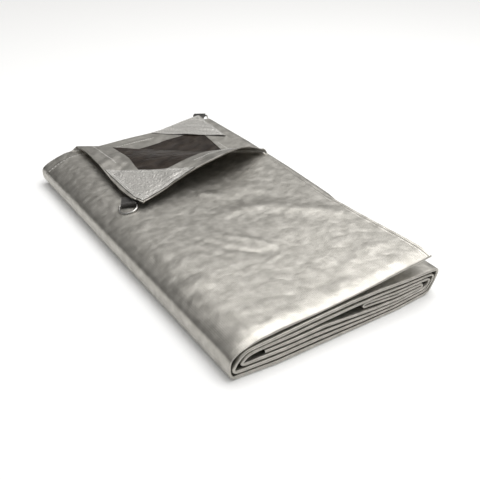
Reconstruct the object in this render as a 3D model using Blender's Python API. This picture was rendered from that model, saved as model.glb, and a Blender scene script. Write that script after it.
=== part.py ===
"""Folded tarp: one coated sheet folded in half, then wound into a flat packet.

The sheet is first drawn flat. Its X runs along the winding, from the free edge of the
top run, and its Y runs along the packet. The lower half of the drawing is the second
ply, joined to the first by the soft fold at the packet's near end. Each point of the
drawing is then placed where the folding puts it. Metres, +Z up, bottom on Z = 0.
"""
import math
from collections import namedtuple

import bmesh
import bpy
import numpy as np
from mathutils import Matrix, Vector

# Driving dimensions, in metres
SHEET = 0.0010              # thickness of the coated cloth
PACKET_LENGTH = 0.624       # from the near end to the far end
TOP_LEFT = 0.040            # where the top run starts to bend down at the left
TOP_EDGE_NEAR = 0.313       # free edge of the top run at the near end
TOP_EDGE_FAR = 0.324        # the same edge at the far end
CORNER_CUT_X = 0.057        # where the turned-back corner's crease meets the far edge
CORNER_CUT_Y = 0.384        # where that crease meets the free edge
CREASE_RADIUS = 0.0048      # loose roll of the cloth along that crease
CORNER_SEAT = 0.0080        # turned-back corner's tip over the cloth under it
LEFT_LIFT = 0.004           # its left edge stands up this much more in the middle
RIGHT_LIFT = 0.026          # and its right edge by this much more again, in an arch
ARCH_SKEW = 0.66            # below 1, the arch is highest nearer the crease
ARCH_SHARPNESS = 1.7        # above 1, it rises and falls more steeply
CORNER_OVERHANG = 0.028     # top ply's free corner past the second ply's, before it turns back
CORNER_CLIP = 0.010         # that corner is cut off bluntly, this far from its point
CORNER_CUTS = (0.020, 0.045, 0.075, 0.110)  # rows of the turned-back corner, from the crease
PATCH_LEGS = {1: (0.122, 0.097), -1: (0.101, 0.121)}    # a patch along the far edge, and the free one
PATCH_INSET = 0.003         # patch to cloth edge
PATCH_THICKNESS = 0.0010
SEAT_GAP = 0.0003           # between pieces that touch
WEBBING_SEAT = 0.0006       # webbing to the cloth over it, which bends a little
WEBBING_WIDTH = 0.0225
WEBBING_THICKNESS = 0.0012
WEBBING_TAIL = 0.014        # under the cloth's corner
EYE_RADIUS = 0.0022         # inside of the loop round the ring's bar
EYE_REACH = 0.0070          # eye's middle past the cloth's corner
# Which way each strap leaves its corner in the drawing, and how far along its bar it sits.
STRAP_OUT = {1: Vector((0.8525, 0.5233)), -1: Vector((0.7071, -0.7071))}
STRAP_SHIFT = {1: -0.011, -1: 0.0}
EYE_HEIGHT = -(SHEET / 2 + WEBBING_SEAT + WEBBING_THICKNESS + SEAT_GAP / 2)
EYE_START = math.radians(40)        # where the loop leaves its tails
EYE_POINTS = 11
RING_WIRE = 0.0034
RING_RADIUS = 0.0138        # middle of the wire, round part
RING_LEG = 0.0080           # straight part between the bar and the round part
RING_CORNER = 0.0022
ARC_POINTS = 13
CORNER_POINTS = 4
FRONT_DROOP = math.radians(2)       # the front ring lies on the cloth
BACK_DROOP = math.radians(58)       # the back one hangs past the cloth's edge
PACKET_MIDDLE = (0.16911, 0.31795)    # box middle, measured from the near left corner

# Every strip of two plies, from the top run inward. Each point is X and Z of the
# middle between the plies. Gaps are from that middle to each ply, at the run's
# start and end. near is how far the soft fold at the near end stands out.
Run = namedtuple("Run", "points gap_start gap_end near far")
RUNS = (
    Run(((0.313, 0.0620), (0.280, 0.0592), (0.240, 0.0552), (0.200, 0.0516), (0.160, 0.0486),
         (0.120, 0.0462), (0.080, 0.0446), (0.040, 0.0423)), 0.0022, 0.0021, 0.000, 0.624),
    Run(((0.014, 0.0026), (0.120, 0.0026), (0.200, 0.0020), (0.306, 0.0019)),
        0.0021, 0.0014, 0.006, 0.617),
    Run(((0.318, 0.0363), (0.280, 0.0378), (0.210, 0.0410), (0.120, 0.0386), (0.034, 0.0336)),
        0.0020, 0.0021, 0.002, 0.614),
    Run(((0.016, 0.0090), (0.120, 0.0099), (0.210, 0.0074), (0.300, 0.0068)),
        0.0021, 0.0014, 0.0055, 0.611),
    Run(((0.310, 0.0305), (0.210, 0.0341), (0.120, 0.0316), (0.042, 0.0282)),
        0.0014, 0.0020, 0.003, 0.616),
    Run(((0.030, 0.0154), (0.120, 0.0172), (0.210, 0.0126), (0.296, 0.0116)),
        0.0020, 0.0014, 0.005, 0.609),
    Run(((0.302, 0.0258), (0.204, 0.0289)), 0.0014, 0.0014, 0.004, 0.613),
    Run(((0.204, 0.0236), (0.300, 0.0211)), 0.0014, 0.0014, 0.004, 0.610),
    Run(((0.300, 0.0163), (0.210, 0.0181), (0.190, 0.0190), (0.155, 0.0243), (0.120, 0.0246),
         (0.048, 0.0220)), 0.0014, 0.0019, 0.005, 0.606),
)
# How far each turn between two runs reaches past the middle of their ends.
TURN_REACH = (None, 0.0165, 0.0155, 0.0180, 0.0170, 0.0180, 0.0048, 0.0042)
TURN_SQUARENESS = (None, 0.50, 0.75, 0.62, 0.75, 0.62, 0.75, 0.75)    # 1 is round, less is boxier
TURN_SLANT = (None, 0.30, 0.0, 0.25, 0.0, 0.20, 0.0, 0.0)      # less reach at the turn's lower side
# The outer left turn, round the packet's side, from the top run to the bottom one.
SIDE_WALL = ((0.040, 0.0423), (0.025, 0.0392), (0.011, 0.0335), (0.0030, 0.0270), (0.0014, 0.0200),
             (0.0014, 0.0100), (0.0040, 0.0042), (0.014, 0.0026))
SIDE_GAP = 0.0009           # the plies lie closer round that side
SIDE_PINCH = 0.4            # share of the side over which they close up
END_CLEAR = 0.006           # no station this near a run's end
GAP_FROM, GAP_TO = 0.25, 0.75       # shares of a run between which its gap changes
NEAR_PINCH = 0.35           # share of a run's near fold that is left beside its turns
NEAR_PINCH_SPAN = 0.15      # share of the run over which it grows to the whole
RUN_STATIONS = (0.040, 0.080, 0.120, 0.155, 0.172, 0.190, 0.210, 0.245, 0.280)
TURN_STEPS = 5
NEAR_STEPS = 3
NEAR_CLOTH = 0.006          # cloth in the soft fold at the near end
ROWS = (0.000, 0.070, 0.200, 0.226, 0.340, 0.480)
CORNER_ROWS = 0.300         # rows past this one belong to the free corner
# How far each ply's free edge is drawn in: rows of Y and how much.
EDGE_DRAWN_IN = {
    1: ((0.030, 0.0), (0.140, 0.0075), (0.200, 0.0095), (0.260, 0.0070), (0.320, 0.0030), (0.380, 0.0)),
    -1: ((0.030, 0.0), (0.200, 0.011), (0.434, 0.015), (0.552, 0.0085), (0.624, 0.003)),
}
# The top run sinks and rises a little at the far end: X and how much.
TOP_FAR = ((0.0, 0.0), (0.160, 0.0), (0.234, -0.0030), (0.290, 0.0010), (0.330, 0.0025))

# Fuller far end at the right: rows of Y and how much higher the wound part stands.
FAR_RISE = ((0.000, 0.00), (0.200, 0.10), (0.226, 0.27), (0.340, 0.38), (0.480, 0.46), (0.624, 0.46))
RISE_FROM, RISE_TO = 0.230, 0.325
SIDE_CLOTH = 0.100          # cloth past the top run that stays out of that rise
FAR_SPREAD = 0.011          # its upper edge also stands out further to the right
SPREAD_HEIGHT = 0.034       # by its full amount from this height up
SIDE_BULGE = 0.006          # the left side is rounder at the far end
BULGE_HEIGHT = 0.024        # most at this height
BULGE_DEPTH = 0.035         # and none this far inside
REST_WITHIN = 0.0004        # what lies this near the surface rests on it
FRAME_STEP = 0.030          # from a corner's tip to the points that give its slope


def smoothstep(value):
    value = min(max(value, 0.0), 1.0)
    return value * value * (3.0 - 2.0 * value)


def eased(points, x):
    """Height at x on a smooth line through the points, which run either way."""
    xs = [p[0] for p in points]
    zs = [p[1] for p in points]
    if xs[0] > xs[-1]:
        xs.reverse()
        zs.reverse()
    slopes = np.gradient(zs, xs) if len(xs) > 2 else [(zs[-1] - zs[0]) / (xs[-1] - xs[0])] * 2
    i = min(max(int(np.searchsorted(xs, x)) - 1, 0), len(xs) - 2)
    step = xs[i + 1] - xs[i]
    t = (x - xs[i]) / step
    return ((2 * t ** 3 - 3 * t ** 2 + 1) * zs[i] + (t ** 3 - 2 * t ** 2 + t) * step * slopes[i]
            + (3 * t ** 2 - 2 * t ** 3) * zs[i + 1] + (t ** 3 - t ** 2) * step * slopes[i + 1])


def run_stations(run):
    """X, Z, gap, near and far along one run, at the stations that it covers."""
    start, end = run.points[0][0], run.points[-1][0]
    low, high = min(start, end), max(start, end)
    inside = [x for x in RUN_STATIONS if low + END_CLEAR < x < high - END_CLEAR]
    xs = sorted([start, end] + inside, reverse=start > end)
    rows = []
    for x in xs:
        share = (x - start) / (end - start)
        change = smoothstep((share - GAP_FROM) / (GAP_TO - GAP_FROM))
        gap = run.gap_start + (run.gap_end - run.gap_start) * change
        bow = smoothstep(min(share, 1.0 - share) / NEAR_PINCH_SPAN)
        near = run.near * (NEAR_PINCH + (1.0 - NEAR_PINCH) * bow)
        rows.append((x, eased(run.points, x), gap, near, run.far))
    return rows


def turn_stations(before, after, turn, sign):
    """The half-round turn from the end of one run to the start of the next."""
    middle = ((before[0] + after[0]) / 2, (before[1] + after[1]) / 2)
    half = ((before[0] - after[0]) / 2, (before[1] - after[1]) / 2)
    rows = []
    for k in range(1, TURN_STEPS + 1):
        angle = math.pi * k / (TURN_STEPS + 1)
        c = math.copysign(abs(math.cos(angle)) ** TURN_SQUARENESS[turn], math.cos(angle))
        s = math.sin(angle) ** TURN_SQUARENESS[turn]
        low = (1.0 - math.copysign(c, c * half[1])) / 2
        reach = TURN_REACH[turn] * (1.0 - TURN_SLANT[turn] * low)
        share = k / (TURN_STEPS + 1)
        blend = [a + (b - a) * share for a, b in zip(before[2:], after[2:])]
        rows.append((middle[0] + c * half[0] + sign * s * reach, middle[1] + c * half[1], *blend))
    return rows


def side_stations(before, after):
    """The outer left turn, which follows the packet's side."""
    rows = []
    for k, (x, z) in enumerate(SIDE_WALL[1:-1], start=1):
        share = k / (len(SIDE_WALL) - 1)
        near = before[3] + (after[3] - before[3]) * share
        far = before[4] + (after[4] - before[4]) * share
        pinch = smoothstep(min(share, 1.0 - share) / SIDE_PINCH)
        rows.append((x, z, before[2] + (SIDE_GAP - before[2]) * pinch, near, far))
    return rows


def wound_section():
    """Stations along the winding, and the length of cloth up to each of them."""
    runs = [run_stations(run) for run in RUNS]
    rows = list(runs[0])
    for k in range(1, len(runs)):
        if k == 1:
            rows += side_stations(runs[0][-1], runs[1][0])
        else:
            sign = 1 if runs[k - 1][-1][0] > runs[k - 1][0][0] else -1
            rows += turn_stations(runs[k - 1][-1], runs[k][0], k - 1, sign)
        rows += runs[k]
    table = np.array(rows)
    steps = np.hypot(np.diff(table[:, 0]), np.diff(table[:, 1]))
    return table, np.concatenate([[0.0], np.cumsum(steps)])


SECTION, CLOTH = wound_section()
TOP_CLOTH = float(CLOTH[len(run_stations(RUNS[0])) - 1])
TANGENT = np.gradient(SECTION[:, :2], CLOTH, axis=0)
TANGENT /= np.linalg.norm(TANGENT, axis=1)[:, None]


def top_edge(y, side=1):
    """X of the free edge at a row of the packet, on the first or second ply."""
    drawn_in = float(np.interp(y, [r[0] for r in EDGE_DRAWN_IN[side]], [r[1] for r in EDGE_DRAWN_IN[side]]))
    return TOP_EDGE_NEAR + (TOP_EDGE_FAR - TOP_EDGE_NEAR) * y / PACKET_LENGTH - drawn_in


def section_at(cloth):
    """Everything about the winding at one length of cloth from the free edge."""
    x, z, gap, near, far = (float(np.interp(cloth, CLOTH, SECTION[:, k])) for k in range(5))
    tx, tz = (float(np.interp(cloth, CLOTH, TANGENT[:, k])) for k in range(2))
    size = math.hypot(tx, tz)
    return x, z, gap, near, far, (tz / size, -tx / size)


def crease_frame():
    """The turned-back corner's crease: a point on it, its direction and its outside."""
    start = Vector((CORNER_CUT_X, PACKET_LENGTH))
    end = Vector((top_edge(CORNER_CUT_Y), CORNER_CUT_Y))
    along = (end - start).normalized()
    out = Vector((-along.y, along.x))
    return start - out * CREASE_RADIUS, along, out, (end - start).length


CREASE_START, CREASE_ALONG, CREASE_OUT, CREASE_LENGTH = crease_frame()
FREE_CORNER = Vector((TOP_EDGE_FAR, PACKET_LENGTH + CORNER_OVERHANG))
CLIP_MIDDLE = FREE_CORNER - STRAP_OUT[1] * CORNER_CLIP
CORNER_DEPTH = (FREE_CORNER - CREASE_START).dot(CREASE_OUT)
CORNER_ALONG = (FREE_CORNER - CREASE_START).dot(CREASE_ALONG)
ROLL = math.pi * CREASE_RADIUS


def corner_lift(along, depth):
    """How far the turned-back corner stands over the cloth under it."""
    p = min(max(depth / CORNER_DEPTH, 0.0), 1.0)
    seat = 2 * CREASE_RADIUS + (CORNER_SEAT - 2 * CREASE_RADIUS) * smoothstep(p)
    left = CORNER_ALONG * p
    right = CREASE_LENGTH - (CREASE_LENGTH - CORNER_ALONG) * p
    q = min(max((along - left) / max(right - left, FRAME_STEP), 0.0), 1.0)
    q -= q * (1.0 - q) * (1.0 - p)
    arch = max(math.sin(math.pi * p ** ARCH_SKEW), 0.0) ** ARCH_SHARPNESS
    return seat + arch * (LEFT_LIFT + RIGHT_LIFT * q)


def top_height(x, y):
    """Middle height of the top run, which sinks and rises a little toward the far end."""
    return eased(TOP_FAR, x) * smoothstep(y / PACKET_LENGTH)


def fuller_end(x, y, z, wound):
    """Right side of the wound part stands higher, and the left side rounder, far away."""
    if wound:
        rise = float(np.interp(y, [r[0] for r in FAR_RISE], [r[1] for r in FAR_RISE]))
        share = smoothstep((x - RISE_FROM) / (RISE_TO - RISE_FROM))
        x += FAR_SPREAD * rise / FAR_RISE[-1][1] * share * smoothstep(z / SPREAD_HEIGHT)
        z *= 1.0 + rise * share
    middle = max(0.0, 1.0 - ((z - BULGE_HEIGHT) / BULGE_HEIGHT) ** 2)
    bulge = SIDE_BULGE * middle * smoothstep(1.0 - x / BULGE_DEPTH)
    return x - bulge * y / PACKET_LENGTH, z


def second_ply(y):
    """Y in the drawing of a point y from the near end on the second ply."""
    return -(y + NEAR_CLOTH)


def place(flat_x, flat_y):
    """Fold one point of the drawing. Rows below zero are the soft fold and second ply."""
    y = flat_y if flat_y > 0 else max(-flat_y - NEAR_CLOTH, 0.0)
    if flat_x >= TOP_LEFT:
        edge = top_edge(y, 1 if flat_y >= 0 else -1)
        cloth = TOP_CLOTH * (edge - flat_x) / (edge - TOP_LEFT)
    else:
        cloth = TOP_CLOTH + TOP_LEFT - flat_x
    x, z, gap, near, far, normal = section_at(cloth)
    if flat_x >= TOP_LEFT:
        x = flat_x
    if -NEAR_CLOTH < flat_y < 0:
        angle = -math.pi * flat_y / NEAR_CLOTH
        y = -near - gap * math.sin(angle)
        side = gap * math.cos(angle)
    else:
        share = y / PACKET_LENGTH
        y = -near + (far + near) * share
        side = gap if flat_y >= 0 else -gap
    wound = cloth > TOP_CLOTH + SIDE_CLOTH
    if flat_x >= TOP_LEFT:
        z += top_height(x, max(y, 0.0))
    depth = (Vector((x, y)) - CREASE_START).dot(CREASE_OUT)
    if flat_x >= TOP_LEFT and flat_y > CORNER_ROWS and depth > 0:
        along = (Vector((x, y)) - CREASE_START).dot(CREASE_ALONG)
        if depth < ROLL:
            offset = CREASE_RADIUS * math.sin(depth / CREASE_RADIUS)
            over = CREASE_RADIUS * (1.0 - math.cos(depth / CREASE_RADIUS))
        else:
            offset = ROLL - depth
            over = corner_lift(along, depth - ROLL)
        new = CREASE_START + CREASE_ALONG * along + CREASE_OUT * offset
        under = section_at(TOP_CLOTH * (top_edge(new.y) - new.x) / (top_edge(new.y) - TOP_LEFT))
        return Vector((new.x, new.y, under[1] + top_height(new.x, new.y) + side + over))
    x, z = x + normal[0] * side, z + normal[1] * side
    x, z = fuller_end(x, max(y, 0.0), z, wound)
    return Vector((x, y, z))


def overhang(x, y):
    """How far the top ply reaches past the drawing's plain rows near its free corner."""
    share = smoothstep((x - CORNER_CUT_X) / (TOP_EDGE_FAR - CORNER_CUT_X))
    return CORNER_OVERHANG * share * smoothstep((y - CORNER_CUT_Y) / (PACKET_LENGTH - CORNER_CUT_Y))


def drawn_corner(side):
    """The free corner of the top run in the drawing, on the first or second ply."""
    return FREE_CORNER if side > 0 else Vector((top_edge(PACKET_LENGTH, -1), second_ply(PACKET_LENGTH)))


def line_between(start, end, inside, inset):
    """A line through two points, moved toward a point inside it, with its way out."""
    out = Vector((end.y - start.y, start.x - end.x)).normalized()
    if (inside - start).dot(out) > 0:
        out.negate()
    return start - out * inset, out


def patch_lines(side):
    """The lines round a corner patch in the drawing: a point and the way out of each."""
    corner = drawn_corner(side)
    far_leg, free_leg = PATCH_LEGS[side]
    x = corner.x - far_leg
    far_end = Vector((x, PACKET_LENGTH + overhang(x, PACKET_LENGTH) if side > 0 else corner.y))
    free_end = Vector((top_edge(PACKET_LENGTH - free_leg, side), corner.y - free_leg * side))
    lines = [line_between(corner, far_end, free_end, PATCH_INSET),
             line_between(corner, free_end, far_end, PATCH_INSET),
             line_between(far_end, free_end, corner, 0.0)]
    if side > 0:
        lines.append((CLIP_MIDDLE - STRAP_OUT[1] * PATCH_INSET, STRAP_OUT[1]))
    return lines


def in_corner(face, side):
    """True for faces of the drawing near the top run's free corner on that ply."""
    middle = face.calc_center_median()
    return middle.x > TOP_LEFT and middle.y * side > CORNER_ROWS


def cut(bm, point, across, side, clear=False):
    """Cut the drawing along a straight line, near the free corner on that ply."""
    faces = [f for f in bm.faces if in_corner(f, side)]
    geom = faces + list({e for f in faces for e in f.edges}) + list({v for f in faces for v in f.verts})
    bmesh.ops.bisect_plane(bm, geom=geom, plane_co=Vector((*point, 0)), dist=1e-6,
                           plane_no=Vector((*across, 0)), clear_outer=clear)


def flat_sheet():
    """The whole sheet as a drawing, cut along the crease and round the patches."""
    bm = bmesh.new()
    lengths = ROWS + (PACKET_LENGTH,)
    fold = [-NEAR_CLOTH * k / (NEAR_STEPS + 1) for k in range(1, NEAR_STEPS + 1)]
    rows = list(reversed(lengths)) + fold + [second_ply(y) for y in lengths]
    grid = []
    for y in rows:
        edge = top_edge(y) if y > 0 else top_edge(max(-y - NEAR_CLOTH, 0.0), -1)
        line = []
        for cloth in CLOTH:
            top = edge - (edge - TOP_LEFT) * cloth / TOP_CLOTH
            x = top if cloth <= TOP_CLOTH else TOP_LEFT - (cloth - TOP_CLOTH)
            line.append(bm.verts.new((x, y + overhang(x, y), 0)))
        grid.append(line)
    for upper, lower in zip(grid, grid[1:]):
        for k in range(len(upper) - 1):
            bm.faces.new((upper[k], upper[k + 1], lower[k + 1], lower[k]))
    cut(bm, CLIP_MIDDLE, STRAP_OUT[1], 1, clear=True)
    for side in (1, -1):
        for point, out in patch_lines(side):
            cut(bm, point, out, side)
    for depth in [ROLL * k / 4 for k in range(5)] + [ROLL + row for row in CORNER_CUTS]:
        cut(bm, CREASE_START + CREASE_OUT * depth, CREASE_OUT, 1)
    bm.verts.index_update()
    bm.faces.index_update()
    return bm


def on_patch(face, side):
    """True for faces of the drawing under a corner patch."""
    middle = face.calc_center_median().to_2d()
    inside = all((middle - point).dot(out) < 0 for point, out in patch_lines(side))
    return in_corner(face, side) and inside


def material(name, colour, roughness, metallic):
    mat = bpy.data.materials.new(name)
    mat.use_nodes = True
    shader = mat.node_tree.nodes["Principled BSDF"]
    shader.inputs["Base Color"].default_value = (*colour, 1)
    shader.inputs["Roughness"].default_value = roughness
    shader.inputs["Metallic"].default_value = metallic
    return mat


def add_object(name, shape, mat):
    obj = bpy.data.objects.new(name, shape)
    bpy.context.collection.objects.link(obj)
    shape.materials.append(mat)
    return obj


def centred(point):
    return Vector((point.x - PACKET_MIDDLE[0], point.y - PACKET_MIDDLE[1], point.z))


def thick_object(name, bm, thickness, mat):
    """Give a folded surface its thickness, and rest its bottom faces flat."""
    mesh = bpy.data.meshes.new(name)
    bmesh.ops.triangulate(bm, faces=bm.faces[:])
    bm.to_mesh(mesh)
    obj = add_object(name, mesh, mat)
    solid = obj.modifiers.new("thickness", "SOLIDIFY")
    solid.thickness = thickness
    solid.offset = 0.0
    solid.use_even_offset = False
    graph = bpy.context.evaluated_depsgraph_get()
    baked = bpy.data.meshes.new_from_object(obj.evaluated_get(graph))
    obj.modifiers.clear()
    for vertex in baked.vertices:
        if vertex.co.z < REST_WITHIN:
            vertex.co.z = 0.0
    obj.data = baked


def folded_pieces(silver, patch_mat):
    """The sheet and the two patches, all from one drawing so that they lie parallel."""
    bm = flat_sheet()
    marks = [(side, [f.index for f in bm.faces if on_patch(f, side)]) for side in (1, -1)]
    for vertex in bm.verts:
        vertex.co = centred(place(vertex.co.x, vertex.co.y))
    bm.normal_update()
    bm.faces.ensure_lookup_table()
    lift = SHEET / 2 + SEAT_GAP + PATCH_THICKNESS / 2
    for (side, faces), name in zip(marks, ("patch_front", "patch_back")):
        patch = bmesh.new()
        made = {}
        for index in faces:
            for vertex in bm.faces[index].verts:
                if vertex.index not in made:
                    made[vertex.index] = patch.verts.new(vertex.co - vertex.normal * lift)
            patch.faces.new([made[v.index] for v in bm.faces[index].verts])
        patch.normal_update()
        thick_object(name, patch, PATCH_THICKNESS, patch_mat)
    thick_object("tarp", bm, SHEET, silver)


def corner_frame(side):
    """Frame at a corner of the cloth: out past the corner, along the bar, dark side up."""
    corner = CLIP_MIDDLE if side > 0 else drawn_corner(side)
    step = STRAP_OUT[side] * FRAME_STEP
    beside = Vector((-step.y, step.x)) / 2
    tip = place(*corner)
    behind = place(*(corner - step))
    one_side = place(*(corner - step + beside))
    other_side = place(*(corner - step - beside))
    out = (tip - behind).normalized()
    up = out.cross(one_side - other_side).normalized()
    if up.z < 0:
        up.negate()
    bar = up.cross(out).normalized()
    frame = Matrix((out, bar, up)).transposed().to_4x4()
    frame.translation = centred(tip)
    return frame @ Matrix.Translation((0, STRAP_SHIFT[side], 0))


def webbing_loop(name, frame, mat):
    """A strap doubled round the ring's bar, its tails lying under the cloth's corner."""
    upper = EYE_HEIGHT + SEAT_GAP / 2 + WEBBING_THICKNESS / 2
    lower = EYE_HEIGHT - SEAT_GAP / 2 - WEBBING_THICKNESS / 2
    radius = EYE_RADIUS + WEBBING_THICKNESS / 2
    path = [(-WEBBING_TAIL, upper), (EYE_REACH - 2 * radius, upper)]
    path += [(EYE_REACH - radius * math.cos(a), EYE_HEIGHT + radius * math.sin(a))
             for a in np.linspace(EYE_START, 2 * math.pi - EYE_START, EYE_POINTS)]
    path += [(EYE_REACH - 2 * radius, lower), (-WEBBING_TAIL, lower)]
    bm = bmesh.new()
    half = WEBBING_WIDTH / 2
    rows = [[bm.verts.new(frame @ Vector((x, y, z))) for y in (-half, half)] for x, z in path]
    for a, b in zip(rows, rows[1:]):
        bm.faces.new((a[0], a[1], b[1], b[0]))
    bm.normal_update()
    thick_object(name, bm, WEBBING_THICKNESS, mat)


def ring(name, frame, droop, mat):
    """A D-shaped ring: a bar, two short legs and a half circle, hanging from the bar."""
    points = []
    for angle in np.linspace(-math.pi / 2, math.pi / 2, ARC_POINTS):
        points.append((RING_LEG + RING_RADIUS * math.cos(angle), RING_RADIUS * math.sin(angle)))
    turns = np.linspace(0.0, math.pi / 2, CORNER_POINTS)
    for sign, angles in ((1, turns), (-1, turns[::-1])):
        for angle in angles:
            x = RING_CORNER - RING_CORNER * math.sin(angle)
            y = RING_RADIUS - RING_CORNER + RING_CORNER * math.cos(angle)
            points.append((x, sign * y))
    curve = bpy.data.curves.new(name, "CURVE")
    curve.dimensions = "3D"
    curve.bevel_depth = RING_WIRE / 2
    curve.bevel_resolution = 2
    spline = curve.splines.new("POLY")
    spline.use_cyclic_u = True
    spline.points.add(len(points) - 1)
    for point, (x, y) in zip(spline.points, points):
        point.co = (x, y, 0, 1)
    hung = Matrix.Translation((EYE_REACH, 0, EYE_HEIGHT)) @ Matrix.Rotation(droop, 4, "Y")
    add_object(name, curve, mat).matrix_world = frame @ hung


def build():
    for obj in list(bpy.data.objects):
        bpy.data.objects.remove(obj)
    silver = material("silver cloth", (0.42, 0.40, 0.37), 0.38, 0.3)
    grey = material("patch cloth", (0.45, 0.43, 0.40), 0.45, 0.2)
    dark = material("dark webbing", (0.035, 0.030, 0.026), 0.8, 0.0)
    chrome = material("chrome", (0.75, 0.74, 0.72), 0.12, 1.0)
    folded_pieces(silver, grey)
    for side, word, droop in ((1, "front", FRONT_DROOP), (-1, "back", BACK_DROOP)):
        frame = corner_frame(side)
        webbing_loop("webbing_" + word, frame, dark)
        ring("ring_" + word, frame, droop, chrome)


build()
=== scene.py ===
"""Folded tarp, dressed: silver coated cloth with a dark inner face, wound into a flat packet."""

import math
from collections import namedtuple

import bmesh
import bpy
import numpy as np
from mathutils import Matrix, Vector, noise


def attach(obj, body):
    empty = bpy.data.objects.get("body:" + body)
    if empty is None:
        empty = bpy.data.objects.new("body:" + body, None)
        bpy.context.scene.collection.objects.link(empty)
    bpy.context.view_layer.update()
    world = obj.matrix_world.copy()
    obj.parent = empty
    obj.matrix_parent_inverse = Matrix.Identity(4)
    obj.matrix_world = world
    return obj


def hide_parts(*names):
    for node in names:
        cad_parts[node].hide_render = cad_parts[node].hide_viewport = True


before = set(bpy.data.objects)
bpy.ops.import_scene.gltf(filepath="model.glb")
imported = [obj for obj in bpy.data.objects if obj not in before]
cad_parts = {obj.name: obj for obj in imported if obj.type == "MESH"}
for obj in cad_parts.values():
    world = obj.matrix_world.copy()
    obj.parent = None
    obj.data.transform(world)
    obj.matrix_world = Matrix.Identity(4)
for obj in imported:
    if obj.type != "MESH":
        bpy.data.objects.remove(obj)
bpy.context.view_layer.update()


# The studio.
# A white paper floor in a white tent that is brightest overhead, with one soft box high
# above. The camera looks along the packet from its near left corner.
CAMERA_AT = Vector((-0.46521, -0.80055, 0.52090))
CAMERA_AZIMUTH = math.radians(-32.88)
CAMERA_ELEVATION = math.radians(30.62)
CAMERA_LENS = 49.56
FLOOR_SIZE = 16.0
TENT_BRIGHT_SIDE = (0.36, -0.08, 0.93)     # the tent is lit from above, and a little from the right
TENT_SHADES = ((0.05, 0.025), (0.36, 0.063), (0.55, 0.24), (0.72, 0.42), (0.90, 0.70))
TENT_STRENGTH = 2.05

aim = Vector((-math.sin(CAMERA_AZIMUTH) * math.cos(CAMERA_ELEVATION),
              math.cos(CAMERA_AZIMUTH) * math.cos(CAMERA_ELEVATION),
              -math.sin(CAMERA_ELEVATION)))
camera_data = bpy.data.cameras.new("camera")
camera_data.lens = CAMERA_LENS
camera_data.sensor_width = 36.0
camera = bpy.data.objects.new("camera", camera_data)
bpy.context.collection.objects.link(camera)
camera.location = CAMERA_AT
camera.rotation_mode = "QUATERNION"
camera.rotation_quaternion = aim.to_track_quat("-Z", "Y")
bpy.context.scene.camera = camera
bpy.context.scene.view_settings.view_transform = "Standard"

paper = bpy.data.materials.new("floor paper")
paper.use_nodes = True
paper_shader = paper.node_tree.nodes["Principled BSDF"]
paper_shader.inputs["Base Color"].default_value = (0.90, 0.90, 0.895, 1)
paper_shader.inputs["Roughness"].default_value = 0.9
paper_shader.inputs["Specular IOR Level"].default_value = 0.1
paper_shader.inputs["Emission Color"].default_value = (1.0, 1.0, 0.99, 1)
paper_shader.inputs["Emission Strength"].default_value = 0.10

floor_mesh = bpy.data.meshes.new("floor")
reach = FLOOR_SIZE / 2
floor_mesh.from_pydata([(-reach, -reach, 0), (reach, -reach, 0), (reach, reach, 0), (-reach, reach, 0)],
                       [], [(0, 1, 2, 3)])
floor_mesh.materials.append(paper)
floor = bpy.data.objects.new("floor", floor_mesh)
bpy.context.collection.objects.link(floor)
floor.location.z = -0.0004

tent = bpy.data.worlds.new("tent")
tent.use_nodes = True
tent_tree = tent.node_tree
tent_way = tent_tree.nodes.new("ShaderNodeTexCoord")
tent_side = tent_tree.nodes.new("ShaderNodeVectorMath")
tent_side.operation = "DOT_PRODUCT"
tent_side.inputs[1].default_value = TENT_BRIGHT_SIDE
tent_tree.links.new(tent_way.outputs["Generated"], tent_side.inputs[0])
tent_light = tent_tree.nodes.new("ShaderNodeValToRGB")
tent_light.color_ramp.elements.remove(tent_light.color_ramp.elements[1])
for at, shade in TENT_SHADES:
    stop = tent_light.color_ramp.elements.new(at)
    stop.color = (shade, shade * 0.995, shade * 0.985, 1)
tent_light.color_ramp.elements.remove(tent_light.color_ramp.elements[0])
tent_tree.links.new(tent_side.outputs["Value"], tent_light.inputs["Fac"])
tent_tree.links.new(tent_light.outputs["Color"], tent_tree.nodes["Background"].inputs["Color"])
tent_tree.nodes["Background"].inputs["Strength"].default_value = TENT_STRENGTH
bpy.context.scene.world = tent


def soft_box(name, place_at, aim_at, size, watts):
    data = bpy.data.lights.new(name, "AREA")
    data.shape = "SQUARE"
    data.size = size
    data.energy = watts
    obj = bpy.data.objects.new(name, data)
    bpy.context.collection.objects.link(obj)
    obj.location = place_at
    obj.rotation_mode = "QUATERNION"
    obj.rotation_quaternion = (Vector(aim_at) - Vector(place_at)).to_track_quat("-Z", "Y")


soft_box("overhead soft box", (0.45, 0.05, 1.7), (0.05, 0.0, 0.0), 1.0, 14)


# The sheet.
# One woven sheet, coated silver outside and dark brown inside, hemmed on its four edges.
# It is folded in half, wound into a flat packet from its free edge on top, and its top
# corner at the far end is turned back over a roll of cloth.
SHEET = 0.0008
PACKET_LENGTH = 0.624
TOP_LEFT = 0.040
TOP_EDGE_NEAR = 0.313
TOP_EDGE_FAR = 0.324
CORNER_CUT_X = 0.057
CORNER_CUT_Y = 0.384
CREASE_RADIUS = 0.0048      # loose roll of the turned-back corner's crease
CORNER_SEAT = 0.0080        # its tip over the cloth under it
LEFT_LIFT, RIGHT_LIFT = 0.004, 0.026        # how far its edges stand up in the middle
ARCH_SKEW, ARCH_SHARPNESS = 0.66, 1.7
CORNER_OVERHANG = 0.028
CLIP_MIDDLE = Vector((0.3195, 0.6498))      # the corner is cut off bluntly here, in the drawing
CLIP_OUT = Vector((0.267, 0.964))           # way out of that cut
TIP_RISE, TIP_RISE_SPAN = 0.0018, 0.045     # its tip lies over the strap
STRAP_IN = 0.010            # the front strap leaves the cloth this far inside its corner
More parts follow.
